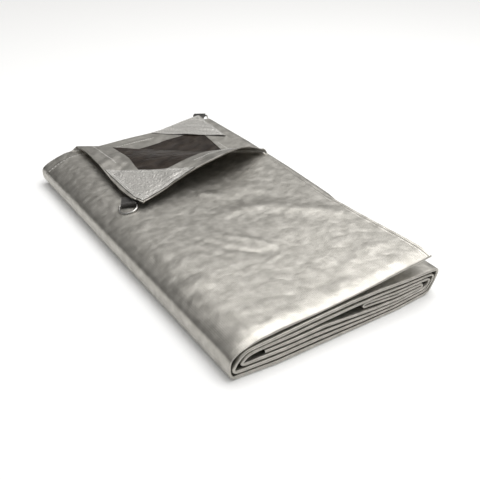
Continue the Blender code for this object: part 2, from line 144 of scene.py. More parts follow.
STRAP_OUT = {1: Vector((0.8525, 0.5233)), -1: Vector((0.7071, -0.7071))}    # straps, in the drawing
STRAP_SHIFT = {1: -0.011, -1: 0.0}
NEAR_ROLL, NEAR_ROLL_SPAN = 0.0026, 0.018   # top ply sinks by this toward the near fold
WELT_AT, WELT_WIDTH, WELT_HEIGHT = 0.0062, 0.0013, 0.0006   # raised line beside the free edge
PACKET_MIDDLE = (0.16911, 0.31795)

# Strips of two plies from the top run inward: X and Z of the middle between the plies,
# the gap to each ply at both ends, and how far the folded near and far ends reach.
Run = namedtuple("Run", "points gap_start gap_end near far")
RUNS = (
    Run(((0.313, 0.0620), (0.280, 0.0592), (0.240, 0.0552), (0.200, 0.0516), (0.160, 0.0486),
         (0.120, 0.0462), (0.080, 0.0446), (0.040, 0.0423)), 0.0022, 0.0021, 0.000, 0.624),
    Run(((0.014, 0.0026), (0.120, 0.0026), (0.200, 0.0020), (0.306, 0.0019)),
        0.0021, 0.0014, 0.006, 0.617),
    Run(((0.318, 0.0363), (0.280, 0.0378), (0.210, 0.0410), (0.120, 0.0386), (0.034, 0.0336)),
        0.0020, 0.0021, 0.002, 0.614),
    Run(((0.016, 0.0090), (0.120, 0.0099), (0.210, 0.0074), (0.300, 0.0068)),
        0.0021, 0.0014, 0.0055, 0.611),
    Run(((0.310, 0.0305), (0.210, 0.0341), (0.120, 0.0316), (0.042, 0.0282)),
        0.0014, 0.0020, 0.003, 0.616),
    Run(((0.030, 0.0154), (0.120, 0.0172), (0.210, 0.0126), (0.296, 0.0116)),
        0.0020, 0.0014, 0.005, 0.609),
    Run(((0.302, 0.0258), (0.204, 0.0289)), 0.0014, 0.0014, 0.004, 0.613),
    Run(((0.204, 0.0236), (0.300, 0.0211)), 0.0014, 0.0014, 0.004, 0.610),
    Run(((0.300, 0.0163), (0.210, 0.0181), (0.190, 0.0190), (0.155, 0.0243), (0.120, 0.0246),
         (0.048, 0.0220)), 0.0014, 0.0019, 0.005, 0.606),
)
TURN_REACH = (None, 0.0165, 0.0155, 0.0180, 0.0170, 0.0180, 0.0048, 0.0042)
TURN_SQUARENESS = (None, 0.50, 0.75, 0.62, 0.75, 0.62, 0.75, 0.75)
TURN_SLANT = (None, 0.30, 0.0, 0.25, 0.0, 0.20, 0.0, 0.0)      # less reach on the lower side
SIDE_WALL = ((0.040, 0.0423), (0.025, 0.0392), (0.011, 0.0335), (0.0030, 0.0270), (0.0014, 0.0200),
             (0.0014, 0.0100), (0.0040, 0.0042), (0.014, 0.0026))
SIDE_GAP = 0.0009
SIDE_PINCH = 0.4
GAP_FROM, GAP_TO = 0.25, 0.75
NEAR_PINCH, NEAR_PINCH_SPAN = 0.35, 0.15
NEAR_CLOTH = 0.006
# How far the free edge of each ply is drawn in, at rows of Y.
EDGE_DRAWN_IN = {
    1: ((0.030, 0.0), (0.140, 0.0075), (0.200, 0.0095), (0.260, 0.0070), (0.320, 0.0030), (0.380, 0.0)),
    -1: ((0.030, 0.0), (0.200, 0.011), (0.434, 0.015), (0.552, 0.0085), (0.624, 0.003)),
}
# More cloth along the turned-back corner's free edge, at rows of Y in the drawing.
EDGE_LET_OUT = ((0.384, 0.0), (0.420, 0.004), (0.460, 0.010), (0.500, 0.0125), (0.557, 0.0088),
                (0.600, 0.0100), (0.652, 0.0131))
CORNER_ROWS = 0.300
TOP_FAR = ((0.0, 0.0), (0.160, 0.0), (0.234, -0.0030), (0.290, 0.0010), (0.330, 0.0025))
FAR_RISE = ((0.000, 0.00), (0.200, 0.10), (0.226, 0.27), (0.340, 0.38), (0.480, 0.46), (0.624, 0.46))
RISE_FROM, RISE_TO = 0.230, 0.325
SIDE_CLOTH = 0.100
FAR_SPREAD, SPREAD_HEIGHT = 0.011, 0.034
SIDE_BULGE, BULGE_HEIGHT, BULGE_DEPTH = 0.006, 0.024, 0.035

# Steps of the drawn grid: along the runs, along the packet and in the turns.
TOP_STEP, INNER_STEP = 0.016, 0.045
ROW_STEP = 0.016
NEAR_ROWS = (0.003, 0.007)
SIDE_STEPS, TURN_STEPS = 16, 8
FOLD_STEPS = 5
EDGE_COLUMNS = (0.0030, 0.0050, 0.0062, 0.0076, 0.0100)

# Main creases of the top: points on the packet, then half width and height of each.
Crease = namedtuple("Crease", "points width height")
CREASES = (
    Crease(((0.120, 0.262), (0.165, 0.262), (0.215, 0.246), (0.248, 0.206), (0.312, 0.122)),
           0.013, 0.00204),
    Crease(((0.150, 0.290), (0.215, 0.285), (0.262, 0.235)), 0.016, -0.00072),
    Crease(((0.080, 0.248), (0.096, 0.206), (0.108, 0.178), (0.140, 0.140), (0.174, 0.126)),
           0.0045, -0.00096),
    Crease(((0.112, 0.222), (0.146, 0.182), (0.174, 0.127)), 0.0040, 0.0009),
    Crease(((0.174, 0.127), (0.122, 0.114)), 0.0035, 0.00066),
    Crease(((0.034, 0.121), (0.006, 0.104), (-0.014, 0.087)), 0.0035, 0.00072),
    Crease(((-0.002, 0.146), (0.038, 0.131), (0.062, 0.116)), 0.010, 0.0012),
    Crease(((-0.004, 0.128), (0.034, 0.116)), 0.008, -0.00078),
    Crease(((0.006, 0.500), (0.024, 0.455), (0.036, 0.404)), 0.007, 0.00096),
    Crease(((0.000, 0.465), (0.016, 0.420), (0.022, 0.370)), 0.007, -0.00072),
    Crease(((0.150, 0.345), (0.190, 0.312)), 0.008, 0.00096),
    Crease(((0.205, 0.330), (0.250, 0.285)), 0.012, 0.00096),
    Crease(((0.200, 0.040), (0.250, 0.058), (0.300, 0.052)), 0.010, 0.00096),
    Crease(((0.150, 0.020), (0.186, 0.048), (0.200, 0.074)), 0.008, -0.00084),
    Crease(((0.262, 0.004), (0.272, 0.030)), 0.005, 0.00084),
    Crease(((0.160, 0.585), (0.176, 0.612), (0.186, 0.645)), 0.008, 0.00156),
    Crease(((0.208, 0.596), (0.222, 0.620), (0.230, 0.648)), 0.006, -0.00108),
    Crease(((0.340, 0.590), (0.312, 0.576), (0.280, 0.566)), 0.010, 0.00144),
    Crease(((0.335, 0.530), (0.310, 0.512), (0.280, 0.500)), 0.009, -0.0012),
)

# Low waves all over the cloth: waves per metre each way, a shift and seed of the pattern,
# and their height. The gathers run round the left side only.
Wave = namedtuple("Wave", "per_x per_y shift seed height")
SLOW = Wave(13, 9, 0, 1.3, 0.0018)
MIDDLE = Wave(30, 46, 0, 4.1, 0.00030)
RIDGED = Wave(34, 60, 7, 8.2, 0.0006)
FINE = Wave(75, 95, 0, 6.7, 0.00012)
SMALL = Wave(120, 120, 0, 2.6, 0.00008)
GATHERS = Wave(22, 150, 0, 5.5, 0.00060)
GATHERS_FROM, GATHERS_SPAN = 0.015, 0.075
WAVE_TURN = 0.5             # the middle and fine waves run askew
RIPPLES = (Wave(34, 34, 0, 7.7, 1.0), Wave(90, 90, 0, 1.1, 0.4))
RIPPLE_MIDDLE = 0.9


def smoothstep(value):
    value = min(max(value, 0.0), 1.0)
    return value * value * (3.0 - 2.0 * value)


def eased(points, x):
    """Height at x on a smooth line through the points, which run either way."""
    xs = [p[0] for p in points]
    zs = [p[1] for p in points]
    if xs[0] > xs[-1]:
        xs.reverse()
        zs.reverse()
    slopes = np.gradient(zs, xs) if len(xs) > 2 else [(zs[-1] - zs[0]) / (xs[-1] - xs[0])] * 2
    i = min(max(int(np.searchsorted(xs, x)) - 1, 0), len(xs) - 2)
    step = xs[i + 1] - xs[i]
    t = (x - xs[i]) / step
    return ((2 * t ** 3 - 3 * t ** 2 + 1) * zs[i] + (t ** 3 - 2 * t ** 2 + t) * step * slopes[i]
            + (3 * t ** 2 - 2 * t ** 3) * zs[i + 1] + (t ** 3 - t ** 2) * step * slopes[i + 1])


def run_stations(run):
    """X, Z, gap, near and far along one run."""
    start, end = run.points[0][0], run.points[-1][0]
    step = TOP_STEP if run is RUNS[0] else INNER_STEP
    count = max(3, round(abs(end - start) / step) + 1)
    rows = []
    for share in np.linspace(0.0, 1.0, count):
        x = start + (end - start) * float(share)
        change = smoothstep((share - GAP_FROM) / (GAP_TO - GAP_FROM))
        gap = run.gap_start + (run.gap_end - run.gap_start) * change
        bow = smoothstep(min(share, 1.0 - share) / NEAR_PINCH_SPAN)
        near = run.near * (NEAR_PINCH + (1.0 - NEAR_PINCH) * bow)
        rows.append((x, eased(run.points, x), gap, near, run.far))
    return rows


def turn_stations(before, after, k_turn, sign):
    """The half-round turn from the end of one run to the start of the next."""
    middle = ((before[0] + after[0]) / 2, (before[1] + after[1]) / 2)
    half = ((before[0] - after[0]) / 2, (before[1] - after[1]) / 2)
    squareness = TURN_SQUARENESS[k_turn]
    rows = []
    for k in range(1, TURN_STEPS):
        share = k / TURN_STEPS
        angle = math.pi * share
        c = math.copysign(abs(math.cos(angle)) ** squareness, math.cos(angle))
        s = math.sin(angle) ** squareness
        low = (1.0 + c) / 2 if half[1] < 0 else (1.0 - c) / 2
        out = sign * s * TURN_REACH[k_turn] * (1.0 - TURN_SLANT[k_turn] * low)
        blend = [a + (b - a) * share for a, b in zip(before[2:], after[2:])]
        rows.append((middle[0] + c * half[0] + out, middle[1] + c * half[1], *blend))
    return rows


def side_stations(before, after):
    """The outer left turn, on a smooth line round the packet's side."""
    wall = np.array(SIDE_WALL)
    lengths = np.concatenate([[0.0], np.cumsum(np.hypot(*np.diff(wall, axis=0).T))])
    slopes = np.gradient(wall, lengths, axis=0)
    rows = []
    for at in np.linspace(0.0, lengths[-1], SIDE_STEPS + 2)[1:-1]:
        i = int(np.searchsorted(lengths, at)) - 1
        step = lengths[i + 1] - lengths[i]
        t = (at - lengths[i]) / step
        point = ((2 * t ** 3 - 3 * t ** 2 + 1) * wall[i] + (t ** 3 - 2 * t ** 2 + t) * step * slopes[i]
                 + (3 * t ** 2 - 2 * t ** 3) * wall[i + 1] + (t ** 3 - t ** 2) * step * slopes[i + 1])
        share = at / lengths[-1]
        pinch = smoothstep(min(share, 1.0 - share) / SIDE_PINCH)
        gap = before[2] + (SIDE_GAP - before[2]) * pinch
        near = before[3] + (after[3] - before[3]) * share
        far = before[4] + (after[4] - before[4]) * share
        rows.append((float(point[0]), float(point[1]), gap, near, far))
    return rows


def wound_section():
    """Stations along the winding, and the length of cloth up to each of them."""
    runs = [run_stations(run) for run in RUNS]
    rows = list(runs[0])
    for k in range(1, len(runs)):
        if k == 1:
            rows += side_stations(runs[0][-1], runs[1][0])
        else:
            sign = 1 if runs[k - 1][-1][0] > runs[k - 1][0][0] else -1
            rows += turn_stations(runs[k - 1][-1], runs[k][0], k - 1, sign)
        rows += runs[k]
    table = np.array(rows)
    steps = np.hypot(np.diff(table[:, 0]), np.diff(table[:, 1]))
    return table, np.concatenate([[0.0], np.cumsum(steps)])


SECTION, CLOTH = wound_section()
TOP_CLOTH = float(CLOTH[len(run_stations(RUNS[0])) - 1])
SIDE_END = float(CLOTH[len(run_stations(RUNS[0])) + SIDE_STEPS])
TANGENT = np.gradient(SECTION[:, :2], CLOTH, axis=0)
TANGENT /= np.linalg.norm(TANGENT, axis=1)[:, None]


def table_value(table, at):
    """A value between the rows of a table, whose first column runs upward."""
    return float(np.interp(at, [row[0] for row in table], [row[1] for row in table]))


def top_edge(y, side=1):
    """X of the top run's free edge, which is drawn in a little along its length."""
    straight = TOP_EDGE_NEAR + (TOP_EDGE_FAR - TOP_EDGE_NEAR) * y / PACKET_LENGTH
    return straight - table_value(EDGE_DRAWN_IN[side], y)


def section_at(cloth):
    """Everything about the winding at one length of cloth from the free edge."""
    i = min(max(int(np.searchsorted(CLOTH, cloth)) - 1, 0), len(CLOTH) - 2)
    step = CLOTH[i + 1] - CLOTH[i]
    t = (cloth - CLOTH[i]) / step
    a, b = SECTION[i], SECTION[i + 1]
    ta, tb = TANGENT[i], TANGENT[i + 1]
    if 0.0 <= t <= 1.0:
        x, z = ((2 * t ** 3 - 3 * t ** 2 + 1) * a[:2] + (t ** 3 - 2 * t ** 2 + t) * step * ta
                + (3 * t ** 2 - 2 * t ** 3) * b[:2] + (t ** 3 - t ** 2) * step * tb)
    else:
        x, z = a[:2] + (b[:2] - a[:2]) * t
    gap, near, far = a[2:] + (b[2:] - a[2:]) * min(max(t, 0.0), 1.0)
    tx, tz = ta + (tb - ta) * min(max(t, 0.0), 1.0)
    size = math.hypot(tx, tz)
    return float(x), float(z), gap, near, far, (tz / size, -tx / size)


crease_from = Vector((CORNER_CUT_X, PACKET_LENGTH))
crease_to = Vector((top_edge(CORNER_CUT_Y), CORNER_CUT_Y))
CREASE_ALONG = (crease_to - crease_from).normalized()
CREASE_OUT = Vector((-CREASE_ALONG.y, CREASE_ALONG.x))
CREASE_LENGTH = (crease_to - crease_from).length
CREASE_START = crease_from - CREASE_OUT * CREASE_RADIUS
FREE_CORNER = Vector((TOP_EDGE_FAR, PACKET_LENGTH + CORNER_OVERHANG))
CORNER_DEPTH = (FREE_CORNER - CREASE_START).dot(CREASE_OUT)
CORNER_ALONG = (FREE_CORNER - CREASE_START).dot(CREASE_ALONG)
ROLL = math.pi * CREASE_RADIUS


def corner_lift(along, depth):
    """How far the turned-back corner stands over the cloth under it."""
    p = min(max(depth / CORNER_DEPTH, 0.0), 1.0)
    seat = 2 * CREASE_RADIUS + (CORNER_SEAT - 2 * CREASE_RADIUS) * smoothstep(p)
    left = CORNER_ALONG * p
    right = CREASE_LENGTH - (CREASE_LENGTH - CORNER_ALONG) * p
    q = min(max((along - left) / max(right - left, 0.03), 0.0), 1.0)
    q -= q * (1.0 - q) * (1.0 - p)
    arch = max(math.sin(math.pi * p ** ARCH_SKEW), 0.0) ** ARCH_SHARPNESS
    return seat + arch * (LEFT_LIFT + RIGHT_LIFT * q)


def top_height(x, y):
    return eased(TOP_FAR, x) * smoothstep(y / PACKET_LENGTH)


def fuller_end(x, y, z, wound):
    """Right side of the wound part stands higher, and the left side rounder, far away."""
    if wound:
        rise = table_value(FAR_RISE, y)
        share = smoothstep((x - RISE_FROM) / (RISE_TO - RISE_FROM))
        x += FAR_SPREAD * rise / FAR_RISE[-1][1] * share * smoothstep(z / SPREAD_HEIGHT)
        z *= 1.0 + rise * share
    middle = max(0.0, 1.0 - ((z - BULGE_HEIGHT) / BULGE_HEIGHT) ** 2)
    bulge = SIDE_BULGE * middle * smoothstep(1.0 - x / BULGE_DEPTH)
    return x - bulge * y / PACKET_LENGTH, z


def second_ply(y):
    """Y in the drawing of a point y from the near end on the second ply."""
    return -(y + NEAR_CLOTH)


def off_line(x, y, points):
    """Distance from a point to a broken line, and the share of the line's length there."""
    at = Vector((x, y))
    best, share, run = 1.0, 0.0, 0.0
    for a, b in zip(points, points[1:]):
        a, b = Vector(a), Vector(b)
        size = (b - a).length
        t = min(max((at - a).dot(b - a) / size ** 2, 0.0), 1.0)
        away = (at - a - (b - a) * t).length
        if away < best:
            best, share = away, run + t * size
        run += size
    return best, share / run


def wave(kind, x, y):
    """Level of one kind of wave at a point, from about -1 to 1."""
    return noise.noise(Vector((x * kind.per_x + kind.shift, y * kind.per_y, kind.seed)))


def crumple(x, y):
    """Height of creases, soft waves and small crinkles on the packet's top and side."""
    height = 0.0
    for crease in CREASES:
        xs = [p[0] for p in crease.points]
        ys = [p[1] for p in crease.points]
        room = 3 * crease.width
        if min(xs) - room < x < max(xs) + room and min(ys) - room < y < max(ys) + room:
            away, share = off_line(x, y, crease.points)
            ends = smoothstep(share / 0.25) * smoothstep((1.0 - share) / 0.25)
            height += crease.height * ends * math.exp(-(away / crease.width) ** 2)
    turned_x, turned_y = x + WAVE_TURN * y, y - WAVE_TURN * x
    slow = wave(SLOW, x, y)
    ridged = 1.0 - 2.0 * abs(wave(RIDGED, turned_x, turned_y))
    near_side = smoothstep(1.0 - (x - GATHERS_FROM) / GATHERS_SPAN)
    height += SLOW.height * slow + RIDGED.height * ridged * abs(slow)
    for kind in (MIDDLE, FINE):
        height += kind.height * wave(kind, turned_x, turned_y)
    height += SMALL.height * wave(SMALL, x, y) + GATHERS.height * near_side * wave(GATHERS, x, y)
    return height


def outer_relief(x, y, cloth):
    """All relief of the outer ply: its crumples, the roll to the near fold and the welt."""
    fade = 1.0 - smoothstep((cloth - TOP_CLOTH - 0.02) / 0.03)
    roll = NEAR_ROLL * (1.0 - max(0.0, 1.0 - y / NEAR_ROLL_SPAN) ** 2)
    welt = WELT_HEIGHT * math.exp(-((cloth - WELT_AT) / WELT_WIDTH) ** 2)
    dip = WELT_HEIGHT * math.exp(-((cloth - WELT_AT / 2) / WELT_WIDTH) ** 2)
    tip = TIP_RISE * smoothstep(1.0 - (Vector((x, y)) - CLIP_MIDDLE).length / TIP_RISE_SPAN)
    return (crumple(x, y) + roll - NEAR_ROLL / 2) * fade + welt - dip + tip


def place(flat_x, flat_y):
    """Fold one point of the drawing. Rows below zero are the soft fold and second ply."""
    y = flat_y if flat_y > 0 else max(-flat_y - NEAR_CLOTH, 0.0)
    if flat_x >= TOP_LEFT:
        edge = top_edge(y, 1 if flat_y >= 0 else -1)
        cloth = TOP_CLOTH * (edge - flat_x) / (edge - TOP_LEFT)
    else:
        cloth = TOP_CLOTH + TOP_LEFT - flat_x
    x, z, gap, near, far, normal = section_at(cloth)
    if flat_x >= TOP_LEFT:
        x = flat_x
    waves = outer_relief(flat_x, y, cloth) if cloth < SIDE_END else 0.0
    if -NEAR_CLOTH < flat_y < 0:
        angle = -math.pi * flat_y / NEAR_CLOTH
        y = -near - gap * math.sin(angle)
        side = gap * math.cos(angle) + waves * math.cos(angle / 2) ** 2
    else:
        y = -near + (far + near) * y / PACKET_LENGTH
        side = gap + waves if flat_y >= 0 else -gap
    wound = cloth > TOP_CLOTH + SIDE_CLOTH
    if flat_x >= TOP_LEFT:
        z += top_height(x, max(y, 0.0))
    depth = (Vector((x, y)) - CREASE_START).dot(CREASE_OUT)
    if flat_x >= TOP_LEFT and flat_y > CORNER_ROWS and depth > 0:
        along = (Vector((x, y)) - CREASE_START).dot(CREASE_ALONG)
        if depth < ROLL:
            offset = CREASE_RADIUS * math.sin(depth / CREASE_RADIUS)
            over = CREASE_RADIUS * (1.0 - math.cos(depth / CREASE_RADIUS))
        else:
            offset = ROLL - depth
            over = corner_lift(along, depth - ROLL)
        new = CREASE_START + CREASE_ALONG * along + CREASE_OUT * offset
        under = section_at(TOP_CLOTH * (top_edge(new.y) - new.x) / (top_edge(new.y) - TOP_LEFT))
        return Vector((new.x, new.y, under[1] + top_height(new.x, new.y) + side + over))
    x, z = x + normal[0] * side, z + normal[1] * side
    x, z = fuller_end(x, max(y, 0.0), z, wound)
    return Vector((x, y, z))


def centred(point):
    return Vector((point.x - PACKET_MIDDLE[0], point.y - PACKET_MIDDLE[1], point.z))


def overhang(x, y):
    """How far the top ply reaches past the drawing's plain rows near its free corner."""
    share = smoothstep((x - CORNER_CUT_X) / (TOP_EDGE_FAR - CORNER_CUT_X))
    return CORNER_OVERHANG * share * smoothstep((y - CORNER_CUT_Y) / (PACKET_LENGTH - CORNER_CUT_Y))


def drawn(cloth, y):
    """The point of the drawing at a length of cloth from the free edge, and a row."""
    edge = top_edge(y) if y > 0 else top_edge(max(-y - NEAR_CLOTH, 0.0), -1)
    if y > 0:
        edge += table_value(EDGE_LET_OUT, y + overhang(edge, y))
    if cloth <= TOP_CLOTH:
        x = edge - (edge - TOP_LEFT) * cloth / TOP_CLOTH
    else:
        x = TOP_LEFT - (cloth - TOP_CLOTH)
    return Vector((x, y + overhang(x, y)))


def folded(point, away=0.0):
    """A drawn point on the folded cloth, moved off its middle toward the silver side."""
    at = place(*point)
    if away:
        step = 0.0006
        across = place(point.x + step, point.y) - place(point.x - step, point.y)
        along = place(point.x, point.y + step) - place(point.x, point.y - step)
        at += across.cross(along).normalized() * away
    return centred(at)


def grid_mesh(points, rows, columns):
    """A grid of drawn points as a mesh, with the drawing kept as its map."""
    bm = bmesh.new()
    flat_map = bm.loops.layers.uv.new("flat")
    verts = [bm.verts.new((p.x, p.y, 0)) for p in points]
    for r in range(rows - 1):
        for c in range(columns - 1):
            a = r * columns + c
            bm.faces.new([verts[i] for i in (a, a + 1, a + columns + 1, a + columns)])
    return bm, flat_map


def fold_and_map(bm, flat_map, away=0.0, ripple=0.0):
    for face in bm.faces:
        for loop in face.loops:
            loop[flat_map].uv = loop.vert.co.xy
    for vertex in bm.verts:
        x, y = vertex.co.xy
        level = RIPPLE_MIDDLE + sum(kind.height * wave(kind, x, y) for kind in RIPPLES)
        vertex.co = folded(vertex.co.xy, away - ripple * level)


def cut(bm, point, across, chosen, clear=False):
    faces = [f for f in bm.faces if chosen(f.calc_center_median())]
    geom = faces + list({e for f in faces for e in f.edges}) + list({v for f in faces for v in f.verts})
    bmesh.ops.bisect_plane(bm, geom=geom, plane_co=Vector((*point, 0)), dist=1e-6,
                           plane_no=Vector((*across, 0)), clear_outer=clear)


def thick_mesh(name, bm, thickness, materials, inner=0, rim=0):
    """Give a folded surface its thickness, with its own finish on the dark side."""
    mesh = bpy.data.meshes.new(name)
    bm.to_mesh(mesh)
    for mat in materials:
        mesh.materials.append(mat)
    obj = bpy.data.objects.new(name, mesh)
    bpy.context.collection.objects.link(obj)
    solid = obj.modifiers.new("thickness", "SOLIDIFY")
    solid.thickness = thickness
    solid.offset = 0.0
    solid.use_even_offset = False
    solid.material_offset = inner
    solid.material_offset_rim = rim
    graph = bpy.context.evaluated_depsgraph_get()
    baked = bpy.data.meshes.new_from_object(obj.evaluated_get(graph))
    obj.modifiers.clear()
    obj.data = baked
    baked.shade_smooth()
    baked.set_sharp_from_angle(angle=math.radians(60))
    return obj


# Finish of the sheet: woven tapes under a thin coating, which crinkles finely.
def group_with(name, inputs, outputs):
    group = bpy.data.node_groups.new(name, "ShaderNodeTree")
    for label, kind, value in inputs:
        socket = group.interface.new_socket(label, in_out="INPUT", socket_type=kind)
        if value is not None:
            socket.default_value = value
    for label, kind in outputs:
        group.interface.new_socket(label, in_out="OUTPUT", socket_type=kind)
    return group, group.nodes.new("NodeGroupInput"), group.nodes.new("NodeGroupOutput")


def maths(tree, operation, first, second=None, clamp=False):
    node = tree.nodes.new("ShaderNodeMath")
    node.operation = operation
    node.use_clamp = clamp
    for socket, value in zip(node.inputs, (first, second)):
        if value is None:
            continue
        if isinstance(value, bpy.types.NodeSocket):
            tree.links.new(value, socket)
        else:
            socket.default_value = value
    return node.outputs[0]


def tape_weave():
    """Flat woven tapes: a height that dips between tapes, and alternates over and under."""
    group, given, out = group_with(
        "tape weave", (("Place", "NodeSocketVector", None), ("Tapes per metre", "NodeSocketFloat", 420.0)),
        (("Height", "NodeSocketFloat"), ("Seams", "NodeSocketFloat")))
    split = group.nodes.new("ShaderNodeSeparateXYZ")
    group.links.new(given.outputs["Place"], split.inputs[0])
    count = given.outputs["Tapes per metre"]
    across = maths(group, "MULTIPLY", split.outputs["X"], count)
    along = maths(group, "MULTIPLY", split.outputs["Y"], count)
    dips = []
    for value in (across, along):
        part = maths(group, "FRACT", value)
        middle = maths(group, "ABSOLUTE", maths(group, "SUBTRACT", part, 0.5))
        dips.append(maths(group, "POWER", maths(group, "MULTIPLY", middle, 2.0), 2.0))
    seams = maths(group, "MAXIMUM", dips[0], dips[1])
    crossing = maths(group, "ADD", maths(group, "FLOOR", across), maths(group, "FLOOR", along))
    over = maths(group, "MULTIPLY", maths(group, "MODULO", crossing, 2.0), 0.35)
    height = maths(group, "SUBTRACT", maths(group, "ADD", 0.65, over), seams)
    group.links.new(height, out.inputs["Height"])
    group.links.new(seams, out.inputs["Seams"])
    return group


def fine_crinkle():
    """Small sharp-edged dents of stiff coated cloth: their height, and a painted sheen that is lighter
    where they rise.
    """
    group, given, out = group_with(
        "fine crinkle", (("Place", "NodeSocketVector", None), ("Size", "NodeSocketFloat", 60.0)),
        (("Height", "NodeSocketFloat"), ("Painted sheen", "NodeSocketFloat")))
    wide = group.nodes.new("ShaderNodeTexNoise")
    wide.inputs["Detail"].default_value = 3.0
    group.links.new(given.outputs["Place"], wide.inputs["Vector"])
    group.links.new(given.outputs["Size"], wide.inputs["Scale"])
    lines = group.nodes.new("ShaderNodeTexNoise")
    lines.inputs["Detail"].default_value = 1.0
    group.links.new(given.outputs["Place"], lines.inputs["Vector"])
    group.links.new(maths(group, "MULTIPLY", given.outputs["Size"], 0.5), lines.inputs["Scale"])
    away = maths(group, "ABSOLUTE", maths(group, "SUBTRACT", lines.outputs["Fac"], 0.5))
    folds = maths(group, "MINIMUM", maths(group, "MULTIPLY", away, 7.0), 1.0)
    height = maths(group, "ADD", maths(group, "MULTIPLY", folds, 0.25), wide.outputs["Fac"])
    group.links.new(height, out.inputs["Height"])
    group.links.new(wide.outputs["Fac"], out.inputs["Painted sheen"])
    return group


WEAVE = tape_weave()
CRINKLE = fine_crinkle()


PAINTED_SHEEN_FROM, PAINTED_SHEEN_TO = 0.30, 0.72     # levels of the crinkles' painted sheen at which the two colours are pure
SEAM_PAINTED_SHADE = 0.10               # painted shade in the grooves between the tapes
ROUGHNESS_SPREAD = 0.16


def coated_cloth(name, low, high, roughness, metallic, shine, crinkle_size, crinkle_depth, weave_depth):
    """Coated woven cloth between two colours, with its weave and crinkles in relief. Its colour is painted
    lighter where the crinkles rise (painted sheen) and darker in the grooves between tapes (painted
    shade).
    """
    mat = bpy.data.materials.new(name)
    mat.use_nodes = True
    tree = mat.node_tree
    shader = tree.nodes["Principled BSDF"]
    shader.inputs["Metallic"].default_value = metallic
    shader.inputs["Specular IOR Level"].default_value = shine
    flat = tree.nodes.new("ShaderNodeUVMap")
    flat.uv_map = "flat"
    weave = tree.nodes.new("ShaderNodeGroup")
    weave.node_tree = WEAVE
    crinkle = tree.nodes.new("ShaderNodeGroup")
    crinkle.node_tree = CRINKLE
    crinkle.inputs["Size"].default_value = crinkle_size
    for node in (weave, crinkle):
        tree.links.new(flat.outputs[0], node.inputs["Place"])
    # Painted sheen: the colour runs from the low to the high colour as the crinkles rise.
    ramp = tree.nodes.new("ShaderNodeValToRGB")
    ramp.color_ramp.elements[0].position = PAINTED_SHEEN_FROM
    ramp.color_ramp.elements[0].color = (*low, 1)
    ramp.color_ramp.elements[1].position = PAINTED_SHEEN_TO
    ramp.color_ramp.elements[1].color = (*high, 1)
    # Painted shade: the colour is darkened in the grooves between the tapes.
    groove_painted_shade = maths(tree, "MULTIPLY", weave.outputs["Seams"], SEAM_PAINTED_SHADE)
    tree.links.new(maths(tree, "SUBTRACT", crinkle.outputs["Painted sheen"], groove_painted_shade), ramp.inputs["Fac"])
    tree.links.new(ramp.outputs["Color"], shader.inputs["Base Color"])
    rough = maths(tree, "MULTIPLY", crinkle.outputs["Painted sheen"], ROUGHNESS_SPREAD)
    rough = maths(tree, "ADD", rough, roughness - ROUGHNESS_SPREAD / 2)
    tree.links.new(rough, shader.inputs["Roughness"])
    dents = tree.nodes.new("ShaderNodeBump")
    dents.inputs["Distance"].default_value = crinkle_depth
    tree.links.new(crinkle.outputs["Height"], dents.inputs["Height"])
    tapes = tree.nodes.new("ShaderNodeBump")
    tapes.inputs["Distance"].default_value = weave_depth
    tree.links.new(weave.outputs["Height"], tapes.inputs["Height"])
    tree.links.new(dents.outputs["Normal"], tapes.inputs["Normal"])
    tree.links.new(tapes.outputs["Normal"], shader.inputs["Normal"])
    return mat


silver_coating = coated_cloth("silver coating", (0.42, 0.403, 0.366), (0.61, 0.588, 0.543),
                              0.38, 0.88, 0.5, 70.0, 0.0006, 0.00012)
brown_coating = coated_cloth("brown coating", (0.014, 0.009, 0.006), (0.046, 0.034, 0.025),
                             0.35, 0.0, 0.30, 48.0, 0.0028, 0.00007)

SHEET_ROWS = [0.0] + list(NEAR_ROWS)
SHEET_ROWS += [float(y) for y in np.linspace(ROW_STEP, PACKET_LENGTH, round(PACKET_LENGTH / ROW_STEP))]
COLUMNS = sorted([float(c) for c in CLOTH] + list(EDGE_COLUMNS))
fold_rows = [-NEAR_CLOTH * k / (FOLD_STEPS + 1) for k in range(1, FOLD_STEPS + 1)]
all_rows = list(reversed(SHEET_ROWS)) + fold_rows + [second_ply(y) for y in SHEET_ROWS]


def outer_ply(middle):
    return middle.x > TOP_LEFT - (SIDE_END - TOP_CLOTH) and middle.y > -NEAR_CLOTH


def near_corner(middle):
    return middle.x > TOP_LEFT and middle.y > CORNER_ROWS


def finer_outside(bm):
    """Smaller faces on the ply that shows, and rows that follow the corner's crease."""
    for level in range(2):
        edges = {e for f in bm.faces if outer_ply(f.calc_center_median()) for e in f.edges}
        if edges:
            bmesh.ops.subdivide_edges(bm, edges=list(edges), cuts=1, use_grid_fill=True)
    for share in (0.0, 0.2, 0.4, 0.6, 0.8, 1.0):
        cut(bm, CREASE_START + CREASE_OUT * ROLL * share, CREASE_OUT, near_corner)
    cut(bm, CLIP_MIDDLE, CLIP_OUT, near_corner, clear=True)


def join_into(obj, others):
    """One object of several meshes, whose materials are the first one's."""
    joined = bmesh.new()
    for part in (obj, *others):
        joined.from_mesh(part.data)
    joined.to_mesh(obj.data)
    for part in others:
        bpy.data.objects.remove(part)


sheet_points = [drawn(c, y) for y in all_rows for c in COLUMNS]
sheet_bm, sheet_map = grid_mesh(sheet_points, len(all_rows), len(COLUMNS))
finer_outside(sheet_bm)
bmesh.ops.recalc_face_normals(sheet_bm, faces=sheet_bm.faces[:])
fold_and_map(sheet_bm, sheet_map)
tarp_sheet = thick_mesh("tarp_sheet", sheet_bm, SHEET, (silver_coating, brown_coating), inner=1)

